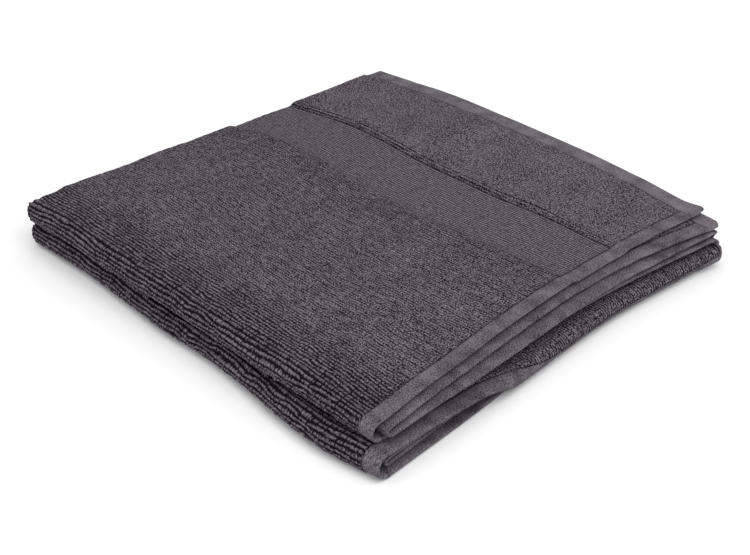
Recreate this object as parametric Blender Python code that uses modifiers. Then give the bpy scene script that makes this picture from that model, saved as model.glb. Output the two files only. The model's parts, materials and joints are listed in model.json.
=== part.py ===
"""Folded bath towel.

A terry towel is folded once along its length, so that both selvages lie together, and then three times
across it in a zigzag. Four doubled panels lie on each other. Panel 1 is on top and panel 4 at the bottom.
Each crosswise fold turns about its own axis, which runs along X between the two panels that it joins.

The frame: X runs across the folded towel, from the lengthwise bend (-X) to the selvages (+X). Y runs from
the edge with folds 1 and 3 (-Y) to the edge with fold 2 and both towel ends (+Y). Z is up.
"""

import math

import bmesh
import bpy

# Driving dimensions, in metres.
TOWEL_LENGTH = 1.400  # from end to end, flat
TOWEL_WIDTH = 0.700  # from selvage to selvage, flat
TERRY_THICKNESS = 0.0044  # ground cloth with loops on both faces
LAYER_GAP = 0.0006  # air between two layers that lie on each other
BORDER_WIDTH = 0.058  # the flat woven band near each end
BORDER_THICKNESS = 0.0030
END_TERRY_WIDTH = 0.081  # the terry between a border and an end hem
END_HEM_WIDTH = 0.016
END_HEM_THICKNESS = 0.0036
SIDE_HEM_WIDTH = 0.011
SIDE_HEM_THICKNESS = 0.0032
SEAM_WIDTH = 0.0006  # the sewing thread, seen from above
SEAM_THICKNESS = 0.0020  # the sewing thread through the cloth
TOP_END_REACH = 0.008  # how far the top end passes the axis of fold 2
BOTTOM_END_SETBACK = 0.018  # how far the bottom end stops short of the axis of fold 2
PIECE_GAP = 0.0003  # clearance between neighbouring solids
HEM_ROUNDING = 0.0006

BEND_STEPS = 8  # facets round the lengthwise bend
TURN_STEPS = 14  # facets round a crosswise fold
ROUNDING_SEGMENTS = 2
SHARP_ANGLE = math.radians(35)

# Sizes that follow.
LAYER_PITCH = TERRY_THICKNESS + LAYER_GAP
INNER_TURN = LAYER_PITCH / 2  # radius of the inner cloth in a crosswise fold
OUTER_TURN = INNER_TURN + LAYER_PITCH
PANEL_LENGTH = (
    TOWEL_LENGTH - math.pi * (2 * OUTER_TURN + INNER_TURN) - TOP_END_REACH + BOTTOM_END_SETBACK
) / 4  # from the axis of fold 1 or 3 to the axis of fold 2
BEND_RADIUS = LAYER_PITCH / 2  # the lengthwise bend
FLAT_WIDTH = (TOWEL_WIDTH - math.pi * BEND_RADIUS) / 2
FOLDED_WIDTH = FLAT_WIDTH + BEND_RADIUS + TERRY_THICKNESS / 2
SELVAGE_X = FOLDED_WIDTH / 2
BEND_X = SELVAGE_X - FLAT_WIDTH  # centre line of the lengthwise bend
HEM_EDGE_X = SELVAGE_X - SIDE_HEM_WIDTH
SEAM_CHANNEL = SEAM_WIDTH + 2 * PIECE_GAP
TERRY_EDGE_X = HEM_EDGE_X - SEAM_CHANNEL
BOTTOM_LAYER_Z = TERRY_THICKNESS / 2

# The three crosswise folds, counted from the top: the side each lies on, and
# how many layers its axis is above the middle of the bottom layer.
FOLD_SIDES = {1: -1, 2: 1, 3: -1}
FOLD_LAYERS_UP = {1: 5.5, 2: 3.5, 3: 1.5}
FOLD_AXES = {
    fold: (
        0.0,
        FOLD_SIDES[fold] * PANEL_LENGTH / 2,
        BOTTOM_LAYER_Z + FOLD_LAYERS_UP[fold] * LAYER_PITCH,
    )
    for fold in FOLD_SIDES
}

COLOURS = {
    "terry": (0.085, 0.074, 0.083, 1.0),
    "border": (0.100, 0.089, 0.097, 1.0),
    "hem": (0.118, 0.106, 0.114, 1.0),
    "thread": (0.060, 0.053, 0.060, 1.0),
}
ROUGHNESS = {"terry": 0.95, "border": 0.80, "hem": 0.82, "thread": 0.70}


def clear_scene():
    for item in list(bpy.data.objects):
        bpy.data.objects.remove(item, do_unlink=True)


def make_material(name):
    material = bpy.data.materials.new(name)
    material.use_nodes = True
    shader = material.node_tree.nodes["Principled BSDF"]
    shader.inputs["Base Color"].default_value = COLOURS[name]
    shader.inputs["Roughness"].default_value = ROUGHNESS[name]
    shader.inputs["Metallic"].default_value = 0.0
    return material


def make_empty(name, location, parent, collection):
    """An axis that a body turns about, or the base that all stands on. location is in its parent's frame."""
    empty = bpy.data.objects.new(name, None)
    empty.empty_display_size = 0.02
    empty.location = location
    empty.parent = parent
    collection.objects.link(empty)
    return empty


def doubled_outline(right_x):
    """Both layers of a doubled panel, from the upper selvage round the lengthwise bend to the lower one."""
    bend = []
    for step in range(BEND_STEPS + 1):
        angle = math.pi * (0.5 + step / BEND_STEPS)
        x = BEND_X + BEND_RADIUS * math.cos(angle)
        bend.append((x, BEND_RADIUS + BEND_RADIUS * math.sin(angle)))
    return [(right_x, LAYER_PITCH)] + bend + [(right_x, 0.0)]


def strip_outline(left_x, right_x):
    return [(right_x, 0.0), (left_x, 0.0)]


class Workshop:
    """Makes the towel's pieces as sheets that get their thickness from Solidify."""

    def __init__(self, collection):
        self.collection = collection
        self.materials = {name: make_material(name) for name in COLOURS}

    def finish(self, name, mesh, thickness, finish_name, parent, location):
        piece = bpy.data.objects.new(name, mesh)
        self.collection.objects.link(piece)
        piece.parent = parent
        piece.location = location
        mesh.materials.append(self.materials[finish_name])
        solidify = piece.modifiers.new("thickness", "SOLIDIFY")
        solidify.thickness = thickness
        solidify.offset = 0.0
        solidify.use_even_offset = True
        if finish_name == "hem":
            rounding = piece.modifiers.new("rounding", "BEVEL")
            rounding.width = HEM_ROUNDING
            rounding.segments = ROUNDING_SEGMENTS
            rounding.limit_method = "ANGLE"
            rounding.angle_limit = SHARP_ANGLE
        mesh.shade_smooth()
        mesh.set_sharp_from_angle(angle=SHARP_ANGLE)
        return piece

    def flat_run(self, name, outline, length, thickness, finish_name, parent, location):
        """A sheet that runs straight along Y from its location."""
        shape = bmesh.new()
        points = [shape.verts.new((x, 0.0, z)) for x, z in outline]
        edges = [shape.edges.new(pair) for pair in zip(points, points[1:])]
        made = bmesh.ops.extrude_edge_only(shape, edges=edges)["geom"]
        moved = [item for item in made if isinstance(item, bmesh.types.BMVert)]
        bmesh.ops.translate(shape, verts=moved, vec=(0.0, length, 0.0))
        bmesh.ops.recalc_face_normals(shape, faces=shape.faces)
        mesh = bpy.data.meshes.new(name)
        shape.to_mesh(mesh)
        shape.free()
        return self.finish(name, mesh, thickness, finish_name, parent, location)

    def turned_run(self, name, outline, turn, thickness, finish_name, parent, location):
        """A sheet that turns half round the X axis at its location, from above the axis to below it."""
        mesh = bpy.data.meshes.new(name)
        edges = [(i, i + 1) for i in range(len(outline) - 1)]
        mesh.from_pydata([(x, 0.0, z) for x, z in outline], edges, [])
        piece = self.finish(name, mesh, thickness, finish_name, parent, location)
        screw = piece.modifiers.new("turn", "SCREW")
        screw.axis = "X"
        screw.angle = turn
        screw.steps = TURN_STEPS
        screw.render_steps = TURN_STEPS
        screw.merge_threshold = 0.00001
        piece.modifiers.move(len(piece.modifiers) - 1, 0)
        return piece


class Panel:
    """One doubled panel. Its frame stands on the axis that the panel turns about.

    low_z is the height of its lower layer, start and end its run along Y, and left_is_upper says whether
    the towel's left half is its upper layer.
    """

    def __init__(self, number, frame, low_z, start, end, left_is_upper):
        self.number = number
        self.frame = frame
        self.low_z = low_z
        self.start = start
        self.end = end
        self.layers = {
            "left": low_z + (LAYER_PITCH if left_is_upper else 0.0),
            "right": low_z + (0.0 if left_is_upper else LAYER_PITCH),
        }


def add_doubled_band(shop, name, panel, start, end, thickness, finish_name, right_x):
    """A band of the doubled cloth between two places along Y, less its share of the clearance."""
    location = (0.0, start + PIECE_GAP / 2, panel.low_z)
    outline = doubled_outline(right_x)
    shop.flat_run(name, outline, end - start - PIECE_GAP, thickness, finish_name, panel.frame, location)


def add_side_hems(shop, panel, start, end):
    """The selvage hem of each half, with the seam that holds it."""
    length = end - start - PIECE_GAP
    for half, z in panel.layers.items():
        location = (0.0, start + PIECE_GAP / 2, z)
        hem = strip_outline(HEM_EDGE_X, SELVAGE_X)
        seam_x = TERRY_EDGE_X + PIECE_GAP
        seam = strip_outline(seam_x, seam_x + SEAM_WIDTH)
        name = f"{half}_side_hem_{panel.number}"
        shop.flat_run(name, hem, length, SIDE_HEM_THICKNESS, "hem", panel.frame, location)
        name = f"{half}_side_seam_{panel.number}"
        shop.flat_run(name, seam, length, SEAM_THICKNESS, "thread", panel.frame, location)


def add_middle_panel(shop, panel):
    name = f"terry_panel_{panel.number}"
    add_doubled_band(
        shop, name, panel, panel.start, panel.end, TERRY_THICKNESS, "terry", TERRY_EDGE_X
    )
    add_side_hems(shop, panel, panel.start, panel.end)


def add_end_panel(shop, panel, place):
    """A panel that holds one of the towel's ends, with its border, its end terry and its end hem."""
    hem_start = panel.end - END_HEM_WIDTH
    seam_start = hem_start - SEAM_WIDTH - PIECE_GAP
    border_end = seam_start - END_TERRY_WIDTH
    border_start = border_end - BORDER_WIDTH
    terry = (TERRY_THICKNESS, "terry", TERRY_EDGE_X)
    name = f"terry_panel_{panel.number}"
    add_doubled_band(shop, name, panel, panel.start, border_start, *terry)
    name = f"border_{place}"
    add_doubled_band(
        shop, name, panel, border_start, border_end, BORDER_THICKNESS, "border", TERRY_EDGE_X
    )
    add_doubled_band(shop, f"end_terry_{place}", panel, border_end, seam_start, *terry)
    add_doubled_band(
        shop, f"end_seam_{place}", panel, seam_start, hem_start, SEAM_THICKNESS, "thread", SELVAGE_X
    )
    add_doubled_band(
        shop, f"end_hem_{place}", panel, hem_start, panel.end, END_HEM_THICKNESS, "hem", SELVAGE_X
    )
    add_side_hems(shop, panel, panel.start, seam_start)


def add_fold(shop, number, frame, location, turn, radii):
    """One crosswise fold: the doubled terry, and the side hem and seam of each half, turned half round."""
    terry = [(x, INNER_TURN + z) for x, z in doubled_outline(TERRY_EDGE_X)]
    shop.turned_run(f"terry_fold_{number}", terry, turn, TERRY_THICKNESS, "terry", frame, location)
    for half, radius in radii.items():
        hem = [(x, radius) for x, _ in strip_outline(HEM_EDGE_X, SELVAGE_X)]
        seam_x = TERRY_EDGE_X + PIECE_GAP
        seam = [(x, radius) for x, _ in strip_outline(seam_x, seam_x + SEAM_WIDTH)]
        name = f"{half}_side_hem_fold_{number}"
        shop.turned_run(name, hem, turn, SIDE_HEM_THICKNESS, "hem", frame, location)
        name = f"{half}_side_seam_fold_{number}"
        shop.turned_run(name, seam, turn, SEAM_THICKNESS, "thread", frame, location)


def offset(place, origin):
    return tuple(a - b for a, b in zip(place, origin))


def build():
    clear_scene()
    collection = bpy.data.collections.new("folded_bath_towel")
    bpy.context.scene.collection.children.link(collection)
    shop = Workshop(collection)

    # Each panel above the bottom one hangs on the axis of the fold below it.
    origin = (0.0, 0.0, 0.0)
    base = make_empty("towel_base", origin, None, collection)
    axis_3 = make_empty("fold_3_axis", FOLD_AXES[3], base, collection)
    axis_2 = make_empty("fold_2_axis", offset(FOLD_AXES[2], FOLD_AXES[3]), axis_3, collection)
    axis_1 = make_empty("fold_1_axis", offset(FOLD_AXES[1], FOLD_AXES[2]), axis_2, collection)

    # Terry stops half a clearance short of an axis, so the seam with the fold has its full clearance.
    near = PIECE_GAP / 2
    bottom_start = -PANEL_LENGTH / 2 + near
    bottom_end = PANEL_LENGTH / 2 - BOTTOM_END_SETBACK
    panel_4 = Panel(4, base, BOTTOM_LAYER_Z, bottom_start, bottom_end, left_is_upper=False)
    panel_3 = Panel(3, axis_3, INNER_TURN, near, PANEL_LENGTH - near, left_is_upper=True)
    panel_2 = Panel(2, axis_2, INNER_TURN, near - PANEL_LENGTH, -near, left_is_upper=False)
    panel_1 = Panel(1, axis_1, INNER_TURN, near, PANEL_LENGTH + TOP_END_REACH, left_is_upper=True)

    add_end_panel(shop, panel_1, "top")
    add_middle_panel(shop, panel_2)
    add_middle_panel(shop, panel_3)
    add_end_panel(shop, panel_4, "bottom")

    # Folds 1 and 3 turn round their -Y side with the left half outermost, fold 2 the other way.
    left_outside = {"left": OUTER_TURN, "right": INNER_TURN}
    left_inside = {"left": INNER_TURN, "right": OUTER_TURN}
    at_axis_1 = offset(FOLD_AXES[1], FOLD_AXES[2])
    at_axis_2 = offset(FOLD_AXES[2], FOLD_AXES[3])
    add_fold(shop, 1, axis_2, at_axis_1, math.pi, left_outside)
    add_fold(shop, 2, axis_3, at_axis_2, -math.pi, left_inside)
    add_fold(shop, 3, base, FOLD_AXES[3], math.pi, left_outside)


build()
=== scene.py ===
import json
import math

import bpy
import numpy as np
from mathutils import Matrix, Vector

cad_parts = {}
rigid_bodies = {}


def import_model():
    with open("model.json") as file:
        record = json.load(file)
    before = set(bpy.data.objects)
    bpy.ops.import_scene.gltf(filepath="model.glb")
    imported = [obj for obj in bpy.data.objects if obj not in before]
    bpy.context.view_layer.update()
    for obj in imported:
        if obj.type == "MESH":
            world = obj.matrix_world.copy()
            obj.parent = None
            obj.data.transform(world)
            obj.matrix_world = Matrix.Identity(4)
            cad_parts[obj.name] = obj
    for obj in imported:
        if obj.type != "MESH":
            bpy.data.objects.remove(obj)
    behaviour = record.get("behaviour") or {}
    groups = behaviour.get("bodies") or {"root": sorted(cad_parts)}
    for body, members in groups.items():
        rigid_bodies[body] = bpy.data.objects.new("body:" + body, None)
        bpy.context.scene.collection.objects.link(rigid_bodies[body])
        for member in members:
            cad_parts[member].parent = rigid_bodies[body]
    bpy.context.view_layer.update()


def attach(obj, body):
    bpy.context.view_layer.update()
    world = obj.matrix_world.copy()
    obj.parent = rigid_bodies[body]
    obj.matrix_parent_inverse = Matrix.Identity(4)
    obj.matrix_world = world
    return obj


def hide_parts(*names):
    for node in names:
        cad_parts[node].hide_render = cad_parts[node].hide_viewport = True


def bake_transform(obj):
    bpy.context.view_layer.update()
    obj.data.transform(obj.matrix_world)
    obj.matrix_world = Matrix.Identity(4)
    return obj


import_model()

bl_info = {
    "name": "Folded bath towel",
    "version": (1, 0, 0),
    "blender": (4, 5, 0),
    "location": "View3D > Sidebar > Towel",
    "description": "Builds a terry bath towel folded in half lengthwise and in four crosswise",
    "category": "Add Mesh",
}

# The towel as cut, in metres.
HALF_WIDTH = 0.350
PANEL_LENGTH = 0.338756  # from one crosswise fold to the next
TOP_REACH = 0.008  # the top end passes the back fold by this much
BOTTOM_SETBACK = 0.018  # the bottom end stops short of it by this much
TERRY_THICKNESS = 0.0043
BORDER_THICKNESS = 0.0030
HEM_THICKNESS = 0.0026
SEAM_THICKNESS = 0.0021
SIDE_HEM = 0.011
SEAM = 0.0012
END_HEM = 0.016
END_TERRY = 0.081
BORDER = 0.058
HEM_EDGE = HALF_WIDTH - SIDE_HEM  # where a side hem starts
PILE_EDGE = HEM_EDGE - SEAM  # half the width of the pile

# The pile.
ROW_PITCH = PANEL_LENGTH / 147
SAMPLES_PER_ROW = 4
INNER_FACE_STEP = 4  # the inner face of a cloth keeps every fourth row sample
BORDER_RIB = 0.0021  # pitch of the border's woven ribs
TWILL_PITCH = 0.0016
TWIST_PITCH = 0.0026
STITCH_PITCH = 0.0027
STITCH_HEIGHT = 0.00022
TOOTH = 0.0008  # how far a row's loops stand out past the edge of the pile
OUTER_TURNS = 42  # samples round the outer layer of a fold
INNER_TURNS = 14
RIM = 0.0013  # radius of a hem's rounded edge
RIM_SAMPLES = (0.0006, 0.00025, 0.0)  # samples from that edge inwards
LOOP_STEP = 0.0022  # step across pile that shows
PLAIN_STEP = 0.0110  # step across pile that doesn't
HIDDEN_STEP = 0.0140  # step across the half that lies below
BEND_ZONE = 0.016  # the cloth is sampled closely this far from the lengthwise bend
SELVAGE_SAMPLED = 0.020  # and this far from a selvage
LEAST_STEP = 0.00015  # samples closer than this are merged
NUDGE = (0.00008, 0.0006)  # steps across and along that a surface's slope is taken over
FOLD_NUDGE = (0.00008, 0.03)  # the same in a fold, the second in radians
OUTER_FOLD_ROWS = 8
INNER_FOLD_ROWS = 3
OUTER_FOLD_CLOTH = 0.0236  # cloth round the outer layer of a crosswise fold
INNER_FOLD_CLOTH = 0.0100  # 7.9 mm in truth, but a sheet may not be declared under 10 mm
OPENED_ROWS = 3  # rows that a panel loses because they lie wider at the front folds
END_MARK = 400 * ROW_PITCH  # added to the pattern of the end pile, to tell it from the rest
RAISED_ZONE = 0.055  # how far from a front fold the rows stand higher
OPENED_ZONE = 0.022  # how far from a front fold the rows lie wider

# Levels count the eight layers from the bottom, and each half of the towel has
# its own level in each panel. Panels are counted from the top.
LEVELS = {
    ("left", 1): 7, ("right", 1): 6, ("right", 2): 5, ("left", 2): 4,
    ("left", 3): 3, ("right", 3): 2, ("right", 4): 1, ("left", 4): 0,
}
LAYER_COUNT = 8
FOLD_LEVEL = {1: 5.5, 2: 3.5, 3: 1.5}
FOLD_SIDE = {1: -1, 2: 1, 3: -1}
BEND_ARC = 0.0036  # half the cloth that goes round the lengthwise bend

# Where the parts of an end lie, from the end of the towel inwards.
TERRY_START = END_HEM + SEAM
BORDER_START = TERRY_START + END_TERRY
FIELD_START = BORDER_START + BORDER
PANEL_CLOTH = {
    1: PANEL_LENGTH + TOP_REACH, 2: PANEL_LENGTH, 3: PANEL_LENGTH, 4: PANEL_LENGTH - BOTTOM_SETBACK,
}
END_PANELS = {"top": 1, "bottom": 4}
SIGNS = {"left": -1, "right": 1}

# The material made here for each of the record's slots.
FINISH_NAMES = {
    "terry": "cotton_terry", "border": "woven_band", "hem": "hem_twill", "thread": "sewing_thread",
}

# How far each layer's selvage reaches in X, at the front folds, one third and
# two thirds of the way back, and at the back fold.
SELVAGE_REACH = {
    ("left", 1): (0.182, 0.1665, 0.1575, 0.1600),
    ("right", 1): (0.186, 0.1715, 0.1635, 0.1745),
    ("right", 2): (0.188, 0.1800, 0.1715, 0.1750),
    ("left", 2): (0.183, 0.1740, 0.1700, 0.1770),
    ("left", 3): (0.1915, 0.1860, 0.1765, 0.1790),
    ("right", 3): (0.1895, 0.1775, 0.1620, 0.1640),
    ("right", 4): (0.1890, 0.1750, 0.1620, 0.1630),
    ("left", 4): (0.1925, 0.1810, 0.1630, 0.1640),
}
# Heights that the selvages of the eight layers settle at, from the bottom, at
# the front folds and at the back.
SELVAGE_HEIGHTS_FRONT = (0.0021, 0.0066, 0.0116, 0.0166, 0.0211, 0.0249, 0.0291, 0.0331)
SELVAGE_HEIGHTS_BACK = (0.0021, 0.0050, 0.0082, 0.0124, 0.0206, 0.0251, 0.0298, 0.0346)
SELVAGE_SETTLING = 0.42  # share of the length in which the front heights become the back ones
CURLED = ("left", 3)  # this selvage rolls under towards the back
CURL_CLOTH = 0.0185
CURL_RADIUS = 0.0045
SELVAGE_ZONE = 0.24  # share of the width over which the layers settle
CORNER_ZONE = 0.12  # share of the width and of the length that makes a corner at the bend

FLOOR_CLEARANCE = 0.0001  # the lowest cloth is pressed flat at this height

# Lines across the towel: (share of the width from the bend, Y in metres).
FRONT_TOP_LINE = ((0, -0.1700), (0.3, -0.1650), (0.6, -0.1610), (1, -0.1560))
FRONT_BOTTOM_LINE = (
    (0, -0.1690), (0.24, -0.1650), (0.42, -0.1655), (0.51, -0.1638), (0.60, -0.1628), (0.69, -0.1640),
    (0.79, -0.1666), (0.88, -0.1658), (0.955, -0.1612), (1, -0.1585),
)
BACK_LINE = ((0, 0.1590), (0.4, 0.1640), (0.7, 0.1660), (0.9, 0.1665), (1, 0.1700))
TOP_END_LINE = ((0, 0.1668), (0.12, 0.1722), (0.4, 0.1795), (0.7, 0.1805), (0.9, 0.1792), (1, 0.1796))
# How far the top panel's lower layer reaches past the line above.
HIDDEN_END_LINE = (
    (0, 0.0040), (0.12, 0.0088), (0.38, 0.0082), (0.62, 0.0035), (0.85, 0.0012), (1, -0.0012),
)
# How far the border strays in Y.
BORDER_WANDER = ((0, -0.0070), (0.13, 0.0005), (0.5, -0.0095), (0.8, -0.0020), (1, 0.0090))


def setting(kind, name, description, default, **rest):
    return kind(name=name, description=description, default=default, **rest)


def length(name, description, default):
    return setting(bpy.props.FloatProperty, name, description, default, unit="LENGTH", precision=4)


def share(name, description, default):
    return setting(bpy.props.FloatProperty, name, description, default, min=0.0, max=4.0)


def colour(name, description, default):
    kind = bpy.props.FloatVectorProperty
    return setting(kind, name, description, default, subtype="COLOR", size=3, min=0.0, max=1.0)


def angle(name, description, degrees):
    return setting(bpy.props.FloatProperty, name, description, math.radians(degrees), subtype="ANGLE")


def power(name, description, default):
    return setting(bpy.props.FloatProperty, name, description, default, unit="POWER")


class TowelShape(bpy.types.PropertyGroup):
    height_left: length("Left height", "Height of the stack at the bend, at the front folds", 0.0370)
    height_front: length("Front height", "Height of the stack at the selvage, at the front folds", 0.0372)
    height_right: length("Right height", "Height of the stack at the selvage, at the back", 0.0405)
    height_back: length("Back height", "Height of the stack at the bend, at the back", 0.0410)
    corner_drop: length("Corner drop", "How much the bend falls at the front folds", 0.0018)
    corner_lift: length("Corner lift", "How much the top layer's far corner turns up", 0.0026)
    border_dip: length("Border dip", "How much the flat border lies below the pile", 0.0020)
    inner_gap: length("Inner gap", "How far the inner layer stays behind at the front folds", 0.0032)
    curl: share("Curl", "How far the lower middle selvage rolls under, from 0 to 1", 1.0)
    curl_flare: length("Curl flare", "How far the rolled selvage spreads at the far corner", 0.0032)
    swell: length("Swell", "Height of the broad swells in the cloth", 0.0011)
    ripple: length("Ripple", "Height of the small ripples in the cloth", 0.0008)
    row_height: length("Row height", "Half the height of a row of loops on the flat cloth", 0.00030)
    fold_row_height: length("Folded row height", "Half the height of a row at the front folds", 0.00072)
    row_wander: share("Row wander", "How far a row strays, in rows", 0.42)
    bend_x: length("Bend place", "X of the lengthwise bend", -0.1725)


class TowelFinish(bpy.types.PropertyGroup):
    # The loop tips' colour is the cloth's colour with painted light on it; the loop gaps' colour is
    # painted shade deep between the loops.
    loop_tip_lit: colour("Loop tips", "Colour of the tips of the terry loops", (0.255, 0.215, 0.252))
    loop_gap_shade: colour("Loop gaps", "Colour deep between the terry loops", (0.0085, 0.0068, 0.0088))
    border_face: colour("Border face", "Colour of the woven border", (0.215, 0.185, 0.213))
    # The border's groove colour is painted shade between its ribs and in the groove at its end.
    border_groove_shade: colour("Border grooves", "Colour between the border's ribs", (0.024, 0.020, 0.024))
    hem_face: colour("Hem face", "Colour of the twill hems", (0.190, 0.166, 0.189))
    # The hems' groove colour is painted shade between their threads.
    hem_groove_shade: colour("Hem grooves", "Colour between the threads of the hems", (0.030, 0.025, 0.030))
    thread: colour("Thread", "Colour of the stitches", (0.095, 0.081, 0.095))
    cloth_roughness: share("Roughness", "Roughness of the cloth", 0.93)


class TowelStage(bpy.types.PropertyGroup):
    azimuth: angle("Azimuth", "Turn of the camera about the towel", 47.98)
    elevation: angle("Elevation", "Height angle of the camera", 32.35)
    distance: length("Distance", "From the camera to its target", 0.94157)
    target: setting(
        bpy.props.FloatVectorProperty, "Target", "Point that the camera looks at",
        (0.02708, -0.02106, 0.0), subtype="TRANSLATION", size=3,
    )
    lens: setting(bpy.props.FloatProperty, "Lens", "Focal length in millimetres", 63.83)
    floor_colour: colour("Floor", "Colour of the floor", (0.90, 0.90, 0.90))
    key_power: power("Key light", "Power of the main light", 10.0)
    fill_power: power("Fill light", "Power of the light from the left", 1.5)
    world_light: share("Room light", "Strength of the light from all round", 0.92)


def smooth_noise(x, y, seed):
    """Smooth seeded variation, from -1 to 1."""
    table = np.random.RandomState(seed).rand(128, 128) * 2 - 1
    x, y = np.broadcast_arrays(np.asarray(x, float) + 50, np.asarray(y, float) + 50)
    column, row = np.floor(x).astype(int), np.floor(y).astype(int)
    fx, fy = x - column, y - row
    fx, fy = fx * fx * (3 - 2 * fx), fy * fy * (3 - 2 * fy)
    corner = lambda i, j: table[(column + i) % 128, (row + j) % 128]
    low = corner(0, 0) * (1 - fx) + corner(1, 0) * fx
    high = corner(0, 1) * (1 - fx) + corner(1, 1) * fx
    return low * (1 - fy) + high * fy


def ease(t):
    t = np.clip(t, 0, 1)
    return t * t * (3 - 2 * t)


def along_line(line, t):
    """Y of a line across the towel, eased from point to point."""
    places = np.array([p for p, _ in line], float)
    values = np.array([v for _, v in line], float)
    slopes = np.gradient(values, places)
    t = np.clip(np.asarray(t, float), 0, 1)
    k = np.clip(np.searchsorted(places, t, side="right") - 1, 0, len(places) - 2)
    span = places[k + 1] - places[k]
    u = (t - places[k]) / span
    return (
        values[k] * (2 * u**3 - 3 * u**2 + 1)
        + slopes[k] * span * (u**3 - 2 * u**2 + u)
        + values[k + 1] * (3 * u**2 - 2 * u**3)
        + slopes[k + 1] * span * (u**3 - u**2)
    )


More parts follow.
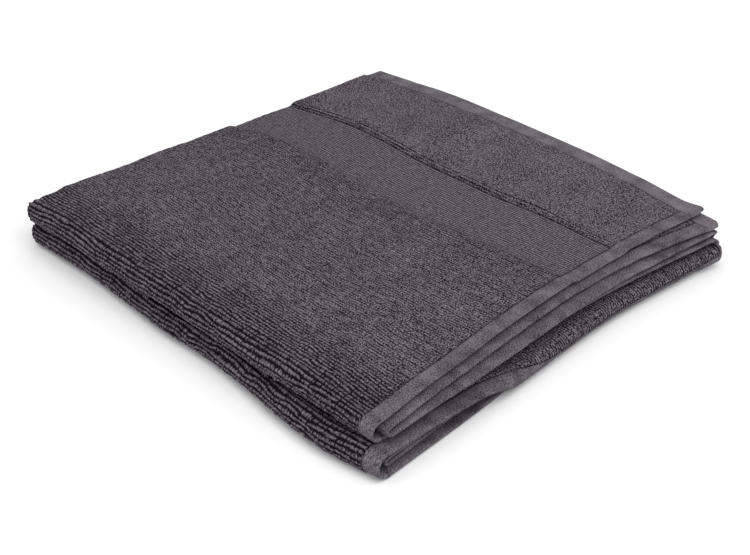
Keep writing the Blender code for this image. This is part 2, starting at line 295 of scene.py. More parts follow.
class Stack:
    """Takes a place on the flat towel to its place in the folded stack.

    across runs from -HALF_WIDTH at the left selvage, through 0 at the
    lengthwise bend, to HALF_WIDTH at the right one. along is the distance from
    a panel's front fold, and turn the angle round a crosswise fold."""

    def __init__(self, shape):
        self.shape = shape

    def side(self, across):
        return -np.sin(np.clip(across / BEND_ARC, -1, 1) * math.pi / 2)

    def width_share(self, across):
        return np.clip((np.abs(across) - BEND_ARC) / (HALF_WIDTH - BEND_ARC), 0, 1)

    def level(self, across, panel):
        left, right = LEVELS[("left", panel)], LEVELS[("right", panel)]
        return (left + right) / 2 + (left - right) / 2 * self.side(across)

    def stack_height(self, a, b):
        s = self.shape
        front = s.height_left * (1 - a) + s.height_front * a
        back = s.height_back * (1 - a) + s.height_right * a
        height = front * (1 - b) + back * b
        return height - s.corner_drop * ease(1 - a / CORNER_ZONE) * ease(1 - b / CORNER_ZONE)

    def height(self, level, a, b):
        s = self.shape
        flat = self.stack_height(a, b) / LAYER_COUNT * (level + 0.5)
        front = np.interp(level, range(LAYER_COUNT), SELVAGE_HEIGHTS_FRONT)
        back = np.interp(level, range(LAYER_COUNT), SELVAGE_HEIGHTS_BACK)
        settled = front + (back - front) * ease(b / SELVAGE_SETTLING)
        w = ease((a - 1 + SELVAGE_ZONE) / SELVAGE_ZONE)
        z = flat * (1 - w) + settled * w
        lift = (level + 0.5) / LAYER_COUNT
        z = z + s.swell * lift * smooth_noise(a * 3.2, b * 3.2, 11)
        z = z + s.ripple * lift**2 * smooth_noise(a * 9, b * 9, 12)
        upper = np.clip((level - 5) / 2, 0, 1)
        place = b * PANEL_LENGTH
        start = PANEL_CLOTH[1] - FIELD_START
        inside = ease((place - start + 0.004) / 0.008) * ease((start + BORDER - place + 0.004) / 0.006)
        end = ease((place - PANEL_CLOTH[1] + END_HEM + 0.004) / 0.006)
        far_corner = ease((a - 0.93) / 0.07) * ease((b - 0.95) / 0.06)
        z = z + s.corner_lift * np.clip(level - 6, 0, 1) * far_corner
        return z - s.border_dip * upper * np.maximum(inside, 0.8 * end)

    def room(self, level, a, b):
        """Height free for one layer."""
        here = self.height(level, a, b)
        below = here - self.height(level - 1, a, b) + 1e9 * (level < 0.5)
        return np.minimum(self.height(level + 1, a, b) - here, below)

    def selvage(self, across, panel, b):
        places = [(k / 3, k) for k in range(4)]
        left, right = (
            along_line([(p, SELVAGE_REACH[(half, panel)][k]) for p, k in places], b)
            for half in ("left", "right")
        )
        w = (self.side(across) + 1) / 2
        return left * w + right * (1 - w)

    def x(self, across, reach, b, recess):
        a = self.width_share(across)
        start = self.shape.bend_x + recess + 0.0012 * smooth_noise(b * 5, recess * 900, 13)
        bulge = 0.0026 * np.cos(np.clip(across / BEND_ARC, -1, 1) * math.pi / 2)
        return start + a * (reach - start) - bulge

    def recess(self, panel):
        return {1: 0.0, 2: -0.0004, 3: -0.0018, 4: -0.0016}[panel]

    def front_line(self, across, panel):
        """Y of the front folds. The inner layer turns back before it reaches the outer one."""
        a = self.width_share(across)
        line = FRONT_TOP_LINE if panel < 3 else FRONT_BOTTOM_LINE
        inner = self.shape.inner_gap * (1 - self.side(across)) / 2 * ease(a / 0.5)
        return along_line(line, a) + 0.0007 * smooth_noise(a * 11, panel < 3, 14) + inner

    def far_end(self, across, panel):
        """(Y of the panel's far end, cloth from the front fold to it)."""
        a = self.width_share(across)
        if panel == 1:
            hidden_more = along_line(HIDDEN_END_LINE, a) * (1 - self.side(across)) / 2
            return along_line(TOP_END_LINE, a) + hidden_more, PANEL_LENGTH + TOP_REACH
        return along_line(BACK_LINE, a), PANEL_LENGTH

    def in_panel(self, across, along, panel):
        across, along = np.broadcast_arrays(np.asarray(across, float), np.asarray(along, float))
        a = self.width_share(across)
        b = along / PANEL_LENGTH
        front = self.front_line(across, panel)
        far, cloth = self.far_end(across, panel)
        t = along / cloth
        y = front + (far - front) * t
        if panel == 1:
            y = y + along_line(BORDER_WANDER, a) * np.sin(np.clip(t, 0, 1) * math.pi) ** 1.5
        z = self.height(self.level(across, panel), a, b)
        x = self.x(across, self.selvage(across, panel, b), b, self.recess(panel))
        if panel == CURLED[1]:
            x, z = self.curled(across, x, z, a, b)
        return np.stack([x, y, z], -1)

    def curled(self, across, x, z, a, b, part=1.0):
        """Rolls the left selvage under, more towards the back, and draws the cloth outwards as far."""
        grown = ease((b - 0.18) / 0.30) * (1 - 0.08 * ease((b - 0.93) / 0.07))
        amount = self.shape.curl * part * grown * (across < 0)
        rolled = CURL_CLOTH * amount
        past = np.maximum((a - 1) * (HALF_WIDTH - BEND_ARC) + rolled, 0)
        drawn = rolled - CURL_RADIUS * np.sin(np.minimum(rolled / CURL_RADIUS, math.pi / 2))
        edge = x - past + drawn * ease(1 - (1 - CURL_CLOTH / HALF_WIDTH - a) / 0.3)
        far_corner = ease((b - 0.935) / 0.065) * ease((a - 0.75) / 0.25)
        flare = self.shape.curl_flare * part * far_corner * (across < 0)
        turn = past / CURL_RADIUS
        fallen = CURL_RADIUS * (1 - np.cos(turn))
        return edge + CURL_RADIUS * np.sin(turn) + flare, z - fallen + 0.5 * flare

    def panel_room(self, across, along, panel):
        across, along = np.broadcast_arrays(np.asarray(across, float), np.asarray(along, float))
        return self.room(self.level(across, panel), self.width_share(across), along / PANEL_LENGTH)

    def in_fold(self, across, turn, fold):
        across, turn = np.broadcast_arrays(np.asarray(across, float), np.asarray(turn, float))
        a = self.width_share(across)
        b = np.full(a.shape, 0.0 if FOLD_SIDE[fold] < 0 else 1.0)
        radius = np.abs(self.level(across, fold) - FOLD_LEVEL[fold])
        level = FOLD_LEVEL[fold] + radius * np.cos(turn)
        pitch = self.stack_height(a, b) / LAYER_COUNT
        axis = self.front_line(across, fold) if FOLD_SIDE[fold] < 0 else self.far_end(across, fold + 1)[0]
        square = 1 - 0.35 * ease(1 - a / CORNER_ZONE)
        y = axis + FOLD_SIDE[fold] * radius * pitch * np.clip(np.sin(turn), 0, 1) ** square * 1.05
        w = (1 - np.cos(turn)) / 2
        reach = self.selvage(across, fold, b) * (1 - w) + self.selvage(across, fold + 1, b) * w
        recess = self.recess(fold) * (1 - w) + self.recess(fold + 1) * w
        x, z = self.x(across, reach, b, recess), self.height(level, a, b)
        if fold + 1 == CURLED[1]:
            x, z = self.curled(across, x, z, a, b, w)
        return np.stack([x, y, z], -1)

    def fold_room(self, across, turn, fold):
        b = 0.0 if FOLD_SIDE[fold] < 0 else PANEL_LENGTH
        w = (1 - np.cos(turn)) / 2
        return self.panel_room(across, b, fold) * (1 - w) + self.panel_room(across, b, fold + 1) * w


def faces_of(place, across, along, thickness, relief, nudge):
    """The outer and inner faces of a cloth whose middle is place(across, along)."""
    middle = place(across, along)
    step_a, step_b = nudge
    side = place(across + step_a, along) - place(across - step_a, along)
    ahead = place(across, along + step_b) - place(across, along - step_b)
    normal = np.cross(side, ahead)
    normal /= np.maximum(np.linalg.norm(normal, axis=-1, keepdims=True), 1e-12)
    lift = (thickness / 2 + relief)[..., None]
    faces = middle + normal * lift, middle - normal * lift
    for face, least in zip(faces, (FLOOR_CLEARANCE, FLOOR_CLEARANCE * 2)):
        face[..., 2] = np.maximum(face[..., 2], least)
    return faces


def closed_cloth(name, first, second, pattern):
    """A closed mesh from a cloth's two faces; the second keeps fewer samples."""
    rows, columns = first.shape[:2]
    keep = sorted(set(range(0, columns, INNER_FACE_STEP)) | {columns - 1})
    second, sparse = second[:, keep], len(keep)
    points = np.concatenate([first.reshape(-1, 3), second.reshape(-1, 3)])
    uv = np.concatenate([pattern.reshape(-1, 2), pattern[:, keep].reshape(-1, 2)])
    base = rows * columns
    one = np.arange(base).reshape(rows, columns)
    two = base + np.arange(rows * sparse).reshape(rows, sparse)

    def quads(grid, flip):
        found = np.stack([grid[:-1, :-1], grid[1:, :-1], grid[1:, 1:], grid[:-1, 1:]], -1).reshape(-1, 4)
        return (found[:, ::-1] if flip else found).tolist()

    faces = quads(one, False) + quads(two, True)
    cloth_faces = len(faces)
    for j in range(sparse - 1):
        top = list(range(keep[j], keep[j + 1] + 1))
        faces.append([*(int(one[0, k]) for k in top), int(two[0, j + 1]), int(two[0, j])])
        faces.append([*(int(one[-1, k]) for k in reversed(top)), int(two[-1, j]), int(two[-1, j + 1])])
    for i in range(rows - 1):
        faces.append([int(one[i + 1, 0]), int(one[i, 0]), int(two[i, 0]), int(two[i + 1, 0])])
        faces.append([int(one[i, -1]), int(one[i + 1, -1]), int(two[i + 1, -1]), int(two[i, -1])])
    mesh = bpy.data.meshes.new(name)
    mesh.from_pydata(points.tolist(), [], faces)
    layer = mesh.uv_layers.new(name="cloth")
    corners = np.empty(len(mesh.loops), np.int32)
    mesh.loops.foreach_get("vertex_index", corners)
    layer.data.foreach_set("uv", uv[corners].astype(np.float32).ravel())
    mesh.polygons.foreach_set("use_smooth", [k < cloth_faces for k in range(len(faces))])
    mesh.validate()
    if sum_volume(mesh) < 0:
        mesh.flip_normals()
    piece = bpy.data.objects.new(name, mesh)
    bpy.context.scene.collection.objects.link(piece)
    return piece


def sum_volume(mesh):
    """Six times the mesh's volume, below zero where its faces point inwards."""
    mesh.calc_loop_triangles()
    corners = np.empty(len(mesh.loop_triangles) * 3, np.int32)
    mesh.loop_triangles.foreach_get("vertices", corners)
    points = np.empty(len(mesh.vertices) * 3)
    mesh.vertices.foreach_get("co", points)
    p = points.reshape(-1, 3)[corners.reshape(-1, 3)]
    return float(np.einsum("ij,ij->i", p[:, 0], np.cross(p[:, 1], p[:, 2])).sum())


def edge_round(distance, radius):
    """Share of the thickness left at a distance from a rounded edge."""
    t = np.clip(distance / radius, 0, 1)
    return np.sqrt(np.clip(1 - (1 - t) ** 2, 0.05, 1))


def spread(start, stop, step):
    return np.linspace(start, stop, max(2, int(round(abs(stop - start) / step)) + 1))


def across_samples(start, stop, visible_step, hidden_step):
    """Places across a cloth, close together at the bend and the selvage."""
    low, high = min(start, stop), max(start, stop)
    parts = [np.array([low, high])]
    if low < BEND_ARC and high > -BEND_ARC:
        count = 29 if low < 0 < high else 15
        parts.append(np.linspace(max(low, -BEND_ARC), min(high, BEND_ARC), count))
        for sign in (-1, 1):
            inner, outer = sign * BEND_ARC, sign * BEND_ZONE
            if low <= min(inner, outer) and max(inner, outer) <= high:
                parts.append(np.linspace(inner, outer, 6))
    for sign, step in ((-1, visible_step), (1, hidden_step)):
        inner, edge = BEND_ZONE, HALF_WIDTH - SELVAGE_SAMPLED
        for begin, end, pitch in ((inner, edge, step), (edge, HALF_WIDTH, min(step, 0.0016))):
            a, b = sorted((sign * begin, sign * end))
            a, b = max(a, low), min(b, high)
            if b - a > 1e-6:
                parts.append(spread(a, b, pitch))
    found = np.unique(np.round(np.concatenate(parts), 7))
    kept = [found[0]]
    for value in found[1:-1]:
        if value - kept[-1] > LEAST_STEP and found[-1] - value > LEAST_STEP:
            kept.append(value)
    return np.array([*kept, found[-1]])


def row_place(across, along, panel, wander):
    """Number of loop rows from the front fold, straying along each row."""
    stray = smooth_noise(across / 0.017, along / 0.021 + panel * 17, 21) * 0.7
    stray = stray + smooth_noise(across / 0.006, along / 0.009 + panel * 31, 22) * 0.3
    ends = ease(along / 0.004) * ease((PANEL_LENGTH - along) / 0.004 + (along > PANEL_LENGTH))
    opened = OPENED_ROWS * (1 - np.exp(-along / OPENED_ZONE))
    return along / ROW_PITCH - opened + wander * stray * ends


def loop_relief(rows, across, strength, roughness, seed):
    """Height of the rows of loops, broken up along each row."""
    ridge = np.cos(2 * math.pi * rows)
    lump = smooth_noise(across / 0.0026, rows, seed)
    rough = smooth_noise(across / 0.0021, rows * 2.3, seed + 1)
    return strength * (ridge * (0.75 + 0.6 * lump) + roughness * rough)


def teeth_of(rows):
    """How far each row's loops stand out past the edge of the pile."""
    return TOOTH * (0.5 + 0.5 * np.cos(2 * math.pi * rows))


def is_outer(fold, half):
    """Whether this half of the towel is the outer layer of the fold."""
    return half == ("right" if fold == 2 else "left")


class Builder:
    """Makes the towel's cloth pieces and ties the panel pieces to the frame."""

    def __init__(self, context):
        self.shape = context.scene.towel_shape
        self.stack = Stack(self.shape)

    def row_strength(self, along):
        flat, folded = self.shape.row_height, self.shape.fold_row_height
        return flat + (folded - flat) * ease(1 - along / RAISED_ZONE)

    def dress(self, piece, slot, node):
        piece.data.materials.append(bpy.data.materials[FINISH_NAMES[slot]])
        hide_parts(node)

    def panel_piece(self, name, node, slot, panel, across, along, thickness, relief, pattern):
        place = lambda p, q: self.stack.in_panel(p, q, panel)
        first, second = faces_of(place, across, along, thickness, relief, NUDGE)
        piece = closed_cloth(name, first, second, pattern)
        self.dress(piece, slot, node)
        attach(piece, f"panel_{panel}")

    def terry(self, name, node, panel, start, stop, step, ragged, roughness=0.35, row_share=1, mark=0):
        """A stretch of pile. ragged says how far its start and its end stray."""
        across = across_samples(-PILE_EDGE, PILE_EDGE, step, HIDDEN_STEP)
        along = spread(start, stop, ROW_PITCH / SAMPLES_PER_ROW)
        p, q = np.meshgrid(across, along, indexing="ij")
        settle = ease((q - start) / 0.012) if start > 0 else 1.0
        rows = row_place(p, q, panel, self.shape.row_wander * settle)
        pressed = np.ones(len(along))
        for end, amount in ((0, ragged[0]), (-1, ragged[1])):
            if amount:
                fade = ease(1 - np.abs(q - along[end]) / 0.003)
                fine = smooth_noise(p / 0.0022, end * 5.0 + panel, 31)
                broad = smooth_noise(p / 0.009, end * 3.0 + panel, 32)
                q = q + fade * amount * (fine + 0.5 * broad)
                pressed = pressed * (0.62 + 0.38 * edge_round(np.abs(along - along[end]), 0.0026))
        outermost = np.zeros(len(across))
        outermost[[0, -1]] = 1.0
        p = p + np.sign(p) * teeth_of(rows) * outermost[:, None]
        strength = self.row_strength(q)
        relief = loop_relief(rows, p, strength * row_share, roughness, 41 + panel)
        room = 0.90 * self.stack.panel_room(p, q, panel) - 2 * np.abs(strength) * 0.6
        thickness = np.minimum(TERRY_THICKNESS, room)
        thinned = 0.45 + 0.55 * edge_round(PILE_EDGE + 0.0003 - np.abs(across), 0.0016)
        thickness = thickness * thinned[:, None] * pressed[None, :]
        pattern = np.stack([p, rows * ROW_PITCH + mark], -1)
        self.panel_piece(name, node, "terry", panel, p, q, thickness, relief, pattern)

    def strip(self, name, node, slot, panel, across, along, full, relief_of, rims, corner=0.0):
        """A flat band. rims are (samples, axis, which end, radius); corner rounds the towel's corners."""
        p, q = np.meshgrid(across, along, indexing="ij")
        if corner:
            near_end = np.clip((q - along[-1] + corner) / corner, 0, 1)
            near_side = ease((np.abs(p) - HALF_WIDTH + 3 * corner) / (3 * corner))
            p = p - np.sign(p) * corner * (1 - np.sqrt(1 - near_end**2 * 0.98)) * near_side
        thickness = np.minimum(full, 0.86 * self.stack.panel_room(p, q, panel))
        for values, axis, which, radius in rims:
            end = values[which]
            factor = edge_round(np.abs(values - end), radius)
            thickness = thickness * (factor[:, None] if axis == 0 else factor[None, :])
        self.panel_piece(name, node, slot, panel, p, q, thickness, relief_of(p, q), np.stack([p, q], -1))

    def side_strip(self, name, node, slot, panel, half, inner, outer, stop, full, relief_of, rim):
        """A band along one side, from the panel's front fold to stop."""
        sign = SIGNS[half]
        values = np.linspace(inner, outer, max(3, int((outer - inner) / 0.0011) + 1))
        if rim:
            rounded = outer - np.array([0.0011, *RIM_SAMPLES])
            values = np.concatenate([values[values < outer - 0.0012], rounded])
        values = np.sort(sign * values)
        along = spread(0.0, stop, 0.0016)
        rims = [(values, 0, 0 if half == "left" else -1, RIM)] if rim else []
        self.strip(name, node, slot, panel, values, along, full, relief_of, rims)

    def fold_piece(self, name, node, slot, fold, half, across, full, relief_of, teeth=False, rim=0.0):
        """One half of a crosswise fold."""
        turn = np.linspace(0, math.pi, OUTER_TURNS if is_outer(fold, half) else INNER_TURNS)
        p, t = np.meshgrid(across, turn, indexing="ij")
        blend_in = (self.stack.side(p) + 1) / 2
        left_rows, right_rows = (
            (INNER_FOLD_ROWS, OUTER_FOLD_ROWS) if fold == 2 else (OUTER_FOLD_ROWS, INNER_FOLD_ROWS)
        )
        count = left_rows * blend_in + right_rows * (1 - blend_in)
        ends = ease(t / 0.5) * ease((math.pi - t) / 0.5)
        rows = count * t / math.pi + 0.45 * smooth_noise(p / 0.014, t * 1.4 + fold * 9, 23) * ends
        if teeth:
            p = p.copy()
            edge = -1 if half == "right" else 0
            p[edge] += np.sign(p[edge]) * teeth_of(rows[edge])
        spare = 0.0006 if slot == "terry" else 0.0004
        thickness = np.minimum(full, 0.90 * self.stack.fold_room(p, t, fold) - spare)
        if rim:
            outer = across[0] if half == "left" else across[-1]
            thickness = thickness * edge_round(np.abs(across - outer), rim)[:, None]
        place = lambda a, b: self.stack.in_fold(a, b, fold)
        radius = np.abs(self.stack.level(p, fold) - FOLD_LEVEL[fold])
        relief = relief_of(p, rows) * np.clip((radius - 0.4) / 0.8, 0.15, 1)  # less in a tight turn
        first, second = faces_of(place, p, t, thickness, relief, FOLD_NUDGE)
        piece = closed_cloth(name, first, second, np.stack([p, rows * ROW_PITCH], -1))
        self.dress(piece, slot, node)
        middle = float(place(p, np.full_like(t, math.pi / 2))[:, 0, 2].mean())
        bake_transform(piece)


# Materials: the shader's sums are written as Python expressions.

class Value:
    """A node socket that Python's operators act on."""

    def __init__(self, tree, socket):
        self.tree, self.socket = tree, socket

    def _sum(self, operation, *values):
        return self.tree.node("ShaderNodeMath", dict(operation=operation), values)

    def __add__(self, other): return self._sum("ADD", self, other)
    def __sub__(self, other): return self._sum("SUBTRACT", self, other)
    def __rsub__(self, other): return self._sum("SUBTRACT", other, self)
    def __mul__(self, other): return self._sum("MULTIPLY", self, other)
    def __truediv__(self, other): return self._sum("DIVIDE", self, other)
    def __pow__(self, other): return self._sum("POWER", self, other)


class Tree:
    """A material's nodes."""

    def __init__(self, name):
        self.material = bpy.data.materials.new(name)
        self.material.use_nodes = True
        tree = self.material.node_tree
        self.nodes, self.links = tree.nodes, tree.links
        self.shader = self.nodes["Principled BSDF"]

    def node(self, kind, settings, values, output=0):
        """Adds a node. values is a list by place, or a dict by socket name."""
        node = self.nodes.new(kind)
        for key, value in settings.items():
            setattr(node, key, value)
        pairs = values.items() if isinstance(values, dict) else enumerate(values)
        for key, value in pairs:
            self.put(node.inputs[key], value)
        return Value(self, node.outputs[output])

    def put(self, socket, value):
        if isinstance(value, Value):
            self.links.new(value.socket, socket)
        else:
            socket.default_value = value

    def limit(self, value):
        return self.node("ShaderNodeMath", dict(operation="MULTIPLY", use_clamp=True), [value, 1.0])

    def wave(self, value):
        """From 0 to 1 and back as value goes up by one; it is 1 at whole numbers."""
        return self.node("ShaderNodeMath", dict(operation="COSINE"), [value * (2 * math.pi)]) * 0.5 + 0.5

    def cloth(self):
        place = self.node("ShaderNodeUVMap", dict(uv_map="cloth"), {}, "UV")
        return (
            self.node("ShaderNodeSeparateXYZ", {}, [place], "X"),
            self.node("ShaderNodeSeparateXYZ", {}, [place], "Y"),
        )

    def point(self, x, y, z=0.0):
        return self.node("ShaderNodeCombineXYZ", {}, [x, y, z])

    def noise(self, point, scale, detail):
        values = {"Vector": point, "Scale": scale, "Detail": detail}
        return self.node("ShaderNodeTexNoise", {}, values, "Fac")

    def cells(self, point):
        settings = dict(feature="F1", voronoi_dimensions="2D")
        values = {"Vector": point, "Scale": 1.0, "Randomness": 0.5}
        return self.node("ShaderNodeTexVoronoi", settings, values, "Distance")

    def mix(self, factor, low, high):
        return self.node(
            "ShaderNodeMix", dict(data_type="RGBA"), {0: factor, 6: (*low, 1.0), 7: (*high, 1.0)}, 2
        )

    def finish(self, colour, height, strength, distance, roughness):
        values = {"Strength": strength, "Distance": distance, "Height": height}
        bump = self.node("ShaderNodeBump", {}, values)
        self.put(self.shader.inputs["Base Color"], colour)
        self.put(self.shader.inputs["Normal"], bump)
        self.shader.inputs["Roughness"].default_value = roughness
        self.shader.inputs["Specular IOR Level"].default_value = 0.05
        return self.material


def terry_material(finish):
    """Rows of small uncut loops, with painted shade deep between them and painted light at their tips."""
    tree = Tree(FINISH_NAMES["terry"])
    u, v = tree.cloth()
    end_pile = tree.limit((v - END_MARK * 0.5) * 400.0)
    v = v - end_pile * END_MARK
    rows = v / ROW_PITCH
    at_fold = 1.0 - tree.limit(v / 0.036)
    end_start = PANEL_CLOTH[1] - BORDER_START - OPENED_ROWS * ROW_PITCH
    in_end = end_pile * tree.limit((v - end_start) * 400.0)
    curly = end_pile * tree.limit((v - end_start - 0.0042) * 450.0)
    by_border = tree.limit((v - (PANEL_CLOTH[1] - FIELD_START - 0.045)) * 30.0) * (1.0 - in_end)
    ridge = tree.wave(rows)
    bead = 0.40 - tree.cells(tree.point(u / 0.0023, rows + 0.25))
    grain = tree.noise(tree.point(u / 0.0011, v / 0.0009), 1.0, 1.0) - 0.5
    tangle = tree.noise(tree.point(u / 0.0017, v / 0.0015), 1.0, 3.0) - 0.5
    patch = tree.noise(tree.point(u, v), 34.0, 2.0) - 0.5
    tuft = tree.noise(tree.point(u / 0.0055, v / 0.0038), 1.0, 1.0) - 0.5
    # The streaks choose which gaps between rows carry painted shade, more of them round the front folds.
    streak = tree.noise(tree.point(u / 0.010, rows * 0.8), 1.0, 2.0) * 3.6 - 1.35 + patch * 1.2
    streak = tree.limit(streak + at_fold * 0.8 + in_end * 0.20) * (1.0 - curly * 0.85)
    # Painted shade in the gaps between the rows of loops.
    gap = (1.0 - ridge) ** 2.2 * streak
    height = ridge * 0.5 + bead * (at_fold * 0.6 + 0.5) + grain * 1.2 + tangle * (curly * 1.4 + 0.2)
    # light runs from the loop gaps' painted shade to the loop tips' painted light; the row gaps and the
    # pile round the front folds get painted shade, and the pile is a little darker towards the border.
    light = bead * (at_fold * 0.55 + 0.45) + grain * (3.7 - at_fold * 2.2) + patch * 0.55
    light = light + tuft * 0.70 + tangle * (curly * 1.6 + 0.6)
    light = light - gap * (0.78 - at_fold * 0.12) - at_fold * 0.10 - by_border * 0.07
    light = tree.limit(light + 0.44)
    colour = tree.mix(light, tuple(finish.loop_gap_shade), tuple(finish.loop_tip_lit))
    return tree.finish(colour, height, 0.9, 0.0013, finish.cloth_roughness)


def border_material(finish):
    """Fine woven ribs across the towel, with flecks, painted shade between the ribs and painted shade in
    a groove at the border's end.
    """
    tree = Tree(FINISH_NAMES["border"])
    u, v = tree.cloth()
    ribs = tree.wave(v / BORDER_RIB)
    grain = tree.noise(tree.point(u / 0.0015, v / 0.0010), 1.0, 2.0) - 0.5
    fleck = tree.noise(tree.point(u / 0.007, v / 0.0011), 1.0, 2.0) - 0.5
    # Painted shade in the groove at the border's end, next to the end pile; the groove is also pressed
    # into the bump.
    groove = tree.limit((v - PANEL_CLOTH[1] + BORDER_START + 0.0016) * 900.0)
    # Painted shade between the ribs.
    light = tree.limit(grain * 3.0 + fleck * 1.6 - (1.0 - ribs) ** 1.5 * 0.95 - groove + 0.74)
    colour = tree.mix(light, tuple(finish.border_groove_shade), tuple(finish.border_face))
    return tree.finish(colour, ribs * 0.9 + grain * 0.8 - groove, 0.8, 0.0009, finish.cloth_roughness)


def hem_material(finish):
    """A turned twill hem: fine slanting threads, with painted shade between them."""
    tree = Tree(FINISH_NAMES["hem"])
    u, v = tree.cloth()
    twill = tree.wave((u + v) / TWILL_PITCH)
    grain = tree.noise(tree.point(u / 0.0011, v / 0.0011), 1.0, 1.0)
    patch = tree.noise(tree.point(u, v), 70.0, 2.0)
    at_end = tree.limit((v - PANEL_CLOTH[1] + END_HEM) * 800.0)
    # light runs down to the painted shade between the threads; the end hems are a little lighter.
    light = tree.limit(twill * 0.22 + (grain - 0.5) * 2.0 + (patch - 0.5) * 1.2 + 0.37 + at_end * 0.14)
    colour = tree.mix(light, tuple(finish.hem_groove_shade), tuple(finish.hem_face))
    height = twill * 0.5 + grain * 0.5 + patch * 0.4
    return tree.finish(colour, height, 0.45, 0.0006, finish.cloth_roughness)


def thread_material(finish):
    """Twisted sewing thread, with painted shade between its strands."""
    tree = Tree(FINISH_NAMES["thread"])
    u, v = tree.cloth()
    twist = tree.wave((u + v) / TWIST_PITCH)
    # dark is the painted shade between the thread's twisted strands.
    dark = tuple(c * 0.08 for c in finish.thread)
    colour = tree.mix(tree.limit(twist * 2.0 - 0.9), dark, tuple(finish.thread))
    return tree.finish(colour, twist, 0.5, 0.0002, 0.8)


# Reliefs of the flat pieces, at p across the towel and q along it.

def border_ribs(p, q):
    ribs = 0.00013 * np.cos(2 * math.pi * q / BORDER_RIB)
    return ribs + 0.00006 * smooth_noise(p / 0.003, q / 0.0011, 61)


def hem_relief(p, q):
    creases = 0.00007 * smooth_noise(p / 0.004, q / 0.006, 62)
    return creases + 0.00004 * smooth_noise(p / 0.0015, q / 0.0015, 63)


def stitches(p, q):
    return STITCH_HEIGHT * np.cos(2 * math.pi * q / STITCH_PITCH)


def stitches_across(p, q):
    return STITCH_HEIGHT * np.cos(2 * math.pi * p / STITCH_PITCH)


class TOWEL_OT_finishes(bpy.types.Operator):
    """Makes the towel's four finishes"""
    bl_idname = "towel.finishes"
    bl_label = "Finishes"

    def execute(self, context):
        for make in (terry_material, border_material, hem_material, thread_material):
            make(context.scene.towel_finish)
        return {"FINISHED"}


class TOWEL_OT_terry_panels(bpy.types.Operator):
    """Makes the pile of the four panels, both layers of each in one cloth"""
    bl_idname = "towel.terry_panels"
    bl_label = "Terry panels"

    def execute(self, context):
        builder = Builder(context)
        for panel, cloth in PANEL_CLOTH.items():
            stop = cloth - (FIELD_START if panel in (1, 4) else 0)
            builder.terry(
                f"terry_field_{panel}", f"terry_panel_{panel}", panel, 0.0, stop,
                LOOP_STEP if panel == 1 else PLAIN_STEP, (0, 0.0007 if panel in (1, 4) else 0),
            )
        return {"FINISHED"}


class TOWEL_OT_terry_folds(bpy.types.Operator):
    """Makes the pile that goes round the crosswise folds"""
    bl_idname = "towel.terry_folds"
    bl_label = "Terry folds"

    def execute(self, context):
        builder = Builder(context)
        strength = builder.shape.fold_row_height
        relief = lambda p, rows: loop_relief(rows, p, strength, 0.35, 71)
        for fold in (1, 2, 3):
            for half, start, stop in (("left", -PILE_EDGE, 0.0), ("right", 0.0, PILE_EDGE)):
                across = across_samples(start, stop, 0.0013, 0.0013 if fold == 2 else 0.0060)
                builder.fold_piece(
                    f"terry_fold_{fold}_{half}", f"terry_fold_{fold}", "terry", fold, half,
                    across, TERRY_THICKNESS, relief, teeth=True,
                )
        return {"FINISHED"}


class TOWEL_OT_borders(bpy.types.Operator):
    """Makes the flat woven border near each end"""
    bl_idname = "towel.borders"
    bl_label = "Borders"

    def execute(self, context):
        builder = Builder(context)
        for end, panel in END_PANELS.items():
            cloth = PANEL_CLOTH[panel]
            along = spread(cloth - FIELD_START, cloth - BORDER_START, BORDER_RIB / 5)
            across = across_samples(-PILE_EDGE, PILE_EDGE, 0.0050, HIDDEN_STEP)
            builder.strip(
                f"woven_border_{end}", f"border_{end}", "border", panel, across, along,
                BORDER_THICKNESS, border_ribs, [(along, 1, -1, 0.0012)],
            )
        return {"FINISHED"}


class TOWEL_OT_end_pile(bpy.types.Operator):
    """Makes the strip of pile between each border and its end hem"""
    bl_idname = "towel.end_pile"
    bl_label = "End pile"

    def execute(self, context):
        builder = Builder(context)
        for end, panel in END_PANELS.items():
            cloth = PANEL_CLOTH[panel]
            builder.terry(
                f"end_pile_{end}", f"end_terry_{end}", panel, cloth - BORDER_START, cloth - TERRY_START,
                LOOP_STEP if end == "top" else PLAIN_STEP, (0.0002, 0.0004),
                roughness=0.9, row_share=0.75, mark=END_MARK,
            )
        return {"FINISHED"}


class TOWEL_OT_end_hems(bpy.types.Operator):
    """Makes the hem and the line of stitches across each end"""
    bl_idname = "towel.end_hems"
    bl_label = "End hems"

    def execute(self, context):
        builder = Builder(context)
        for end, panel in END_PANELS.items():
            cloth = PANEL_CLOTH[panel]
            across = across_samples(-HALF_WIDTH, HALF_WIDTH, 0.0030, 0.0060)
            rounded = cloth - np.array([0.0009, 0.0005, 0.0002, 0.0])
            along = np.concatenate([spread(cloth - END_HEM, cloth - RIM, 0.0013), rounded])
            rims = [(along, 1, -1, 0.0017), (across, 0, 0, RIM), (across, 0, -1, RIM)]
            builder.strip(
                f"end_band_{end}", f"end_hem_{end}", "hem", panel, across, along,
                HEM_THICKNESS + 0.0009, hem_relief, rims, corner=0.0065,
            )
            across = across_samples(-PILE_EDGE, PILE_EDGE, 0.0009, HIDDEN_STEP)
            along = np.linspace(cloth - TERRY_START, cloth - END_HEM, 5)
            builder.strip(
                f"end_stitches_{end}", f"end_seam_{end}", "thread", panel, across, along,
                SEAM_THICKNESS, stitches_across, [],
            )
        return {"FINISHED"}


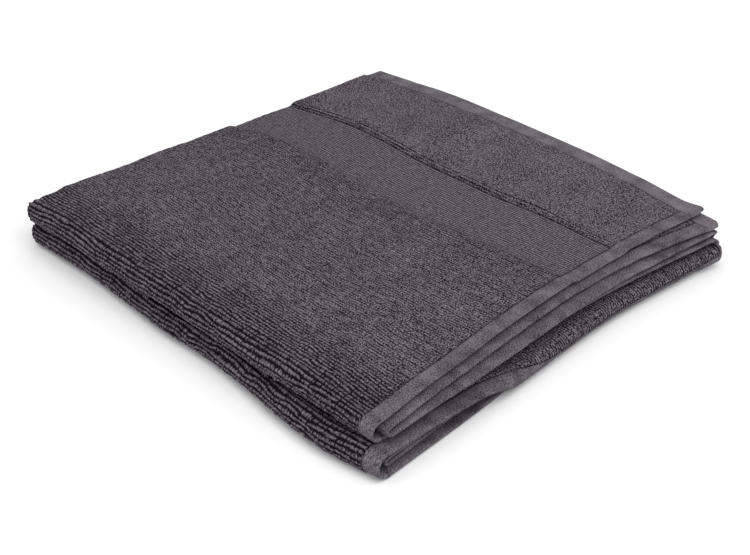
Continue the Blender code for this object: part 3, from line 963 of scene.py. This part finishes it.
class TOWEL_OT_side_hems(bpy.types.Operator):
    """Makes the side hems and their stitches, panel by panel and round the folds"""
    bl_idname = "towel.side_hems"
    bl_label = "Side hems"

    def execute(self, context):
        builder = Builder(context)
        for half in ("left", "right"):
            for panel, cloth in PANEL_CLOTH.items():
                stop = cloth - END_HEM if panel in (1, 4) else cloth
                builder.side_strip(
                    f"{half}_selvage_{panel}", f"{half}_side_hem_{panel}", "hem", panel, half,
                    HEM_EDGE, HALF_WIDTH, stop, HEM_THICKNESS, hem_relief, True,
                )
                builder.side_strip(
                    f"{half}_stitches_{panel}", f"{half}_side_seam_{panel}", "thread", panel, half,
                    PILE_EDGE, HEM_EDGE, stop, SEAM_THICKNESS, stitches, False,
                )
            for fold in (1, 2, 3):
                sign = SIGNS[half]
                flat = np.linspace(HEM_EDGE, HALF_WIDTH - 0.0012, 9)
                across = np.sort(sign * np.concatenate([flat, HALF_WIDTH - np.array(RIM_SAMPLES)]))
                builder.fold_piece(
                    f"{half}_selvage_fold_{fold}", f"{half}_side_hem_fold_{fold}", "hem", fold, half,
                    across, HEM_THICKNESS, lambda p, rows: hem_relief(p, rows * ROW_PITCH), rim=RIM,
                )
                builder.fold_piece(
                    f"{half}_stitches_fold_{fold}", f"{half}_side_seam_fold_{fold}", "thread", fold, half,
                    np.sort(sign * np.linspace(PILE_EDGE, HEM_EDGE, 4)), SEAM_THICKNESS,
                    lambda p, rows: stitches(p, rows * ROW_PITCH),
                )
        return {"FINISHED"}


class TOWEL_OT_declare_sheets(bpy.types.Operator):
    """Looks up each cloth piece by name; the cut lengths and what each lies on are worked out but not
    used.
    """
    bl_idname = "towel.declare_sheets"
    bl_label = "Declare sheets"

    def execute(self, context):
        halves = ("left", "right")
        find = bpy.data.objects.__getitem__
        for panel, cloth in PANEL_CLOTH.items():
            field = cloth - (FIELD_START if panel in (1, 4) else 0)
            below = "floor" if panel == 4 else f"terry_field_{panel + 1}"
            sewn = [find(f"{half}_{kind}_{panel}") for half in halves for kind in ("selvage", "stitches")]
            find(f"terry_field_{panel}")
        for end, below in (("top", "terry_field_2"), ("bottom", "floor")):
            find(f"woven_border_{end}")
            find(f"end_pile_{end}")
            find(f"end_stitches_{end}")
            find(f"end_band_{end}")
        for fold in (1, 2, 3):
            for half in halves:
                cloth = OUTER_FOLD_CLOTH if is_outer(fold, half) else INNER_FOLD_CLOTH
                sewn = [find(f"{half}_selvage_fold_{fold}"), find(f"{half}_stitches_fold_{fold}")]
                find(f"terry_fold_{fold}_{half}")
        return {"FINISHED"}


class TOWEL_OT_stage(bpy.types.Operator):
    """Makes the camera, the floor and the lights"""
    bl_idname = "towel.stage"
    bl_label = "Stage"

    def execute(self, context):
        stage = context.scene.towel_stage
        link = context.scene.collection.objects.link
        target = Vector(stage.target)
        away = Vector((
            math.sin(stage.azimuth) * math.cos(stage.elevation),
            -math.cos(stage.azimuth) * math.cos(stage.elevation),
            math.sin(stage.elevation),
        ))
        data = bpy.data.cameras.new("camera")
        data.lens, data.sensor_width, data.clip_start = stage.lens, 36.0, 0.01
        camera = bpy.data.objects.new("camera", data)
        link(camera)
        camera.location = target + away * stage.distance
        camera.rotation_euler = (-away).to_track_quat("-Z", "Y").to_euler()
        context.scene.camera = camera

        bpy.ops.mesh.primitive_plane_add(size=8.0, location=(0, 0, 0))
        floor = context.object
        floor.name = "floor"
        material = bpy.data.materials.new("floor")
        material.use_nodes = True
        shader = material.node_tree.nodes["Principled BSDF"]
        shader.inputs["Base Color"].default_value = (*stage.floor_colour, 1.0)
        shader.inputs["Roughness"].default_value = 0.9
        floor.data.materials.append(material)

        for name, power, size, place in (
            ("key", stage.key_power, 1.1, (0.75, -0.15, 1.35)),
            ("fill", stage.fill_power, 1.4, (-0.75, -1.1, 0.9)),
        ):
            light = bpy.data.lights.new(name, "AREA")
            light.energy, light.size = power, size
            lamp = bpy.data.objects.new(name, light)
            link(lamp)
            lamp.location = place
            lamp.rotation_euler = (-Vector(place)).to_track_quat("-Z", "Y").to_euler()
        world = bpy.data.worlds.new("room")
        world.use_nodes = True
        background = world.node_tree.nodes["Background"]
        background.inputs["Color"].default_value = (1.0, 1.0, 1.0, 1.0)
        background.inputs["Strength"].default_value = stage.world_light
        context.scene.world = world
        context.scene.view_settings.view_transform = "Standard"
        return {"FINISHED"}


OPERATORS = (
    TOWEL_OT_finishes, TOWEL_OT_stage, TOWEL_OT_terry_panels, TOWEL_OT_terry_folds, TOWEL_OT_borders,
    TOWEL_OT_end_pile, TOWEL_OT_end_hems, TOWEL_OT_side_hems, TOWEL_OT_declare_sheets,
)


class TOWEL_PT_panel(bpy.types.Panel):
    """Lists the towel's pieces"""
    bl_idname = "TOWEL_PT_panel"
    bl_label = "Folded towel"
    bl_space_type = "VIEW_3D"
    bl_region_type = "UI"
    bl_category = "Towel"

    def draw(self, context):
        for operator in OPERATORS:
            self.layout.operator(operator.bl_idname)


GROUPS = {"towel_shape": TowelShape, "towel_finish": TowelFinish, "towel_stage": TowelStage}


def register():
    for group in (*GROUPS.values(), *OPERATORS, TOWEL_PT_panel):
        bpy.utils.register_class(group)
    for name, group in GROUPS.items():
        setattr(bpy.types.Scene, name, bpy.props.PointerProperty(type=group))


def unregister():
    for name in GROUPS:
        delattr(bpy.types.Scene, name)
    for group in reversed((*GROUPS.values(), *OPERATORS, TOWEL_PT_panel)):
        bpy.utils.unregister_class(group)


def main():
    register()
    bpy.ops.towel.finishes()
    bpy.ops.towel.stage()
    bpy.ops.towel.terry_panels()
    bpy.ops.towel.terry_folds()
    bpy.ops.towel.borders()
    bpy.ops.towel.end_pile()
    bpy.ops.towel.end_hems()
    bpy.ops.towel.side_hems()
    bpy.ops.towel.declare_sheets()


if __name__ == "__main__":
    main()
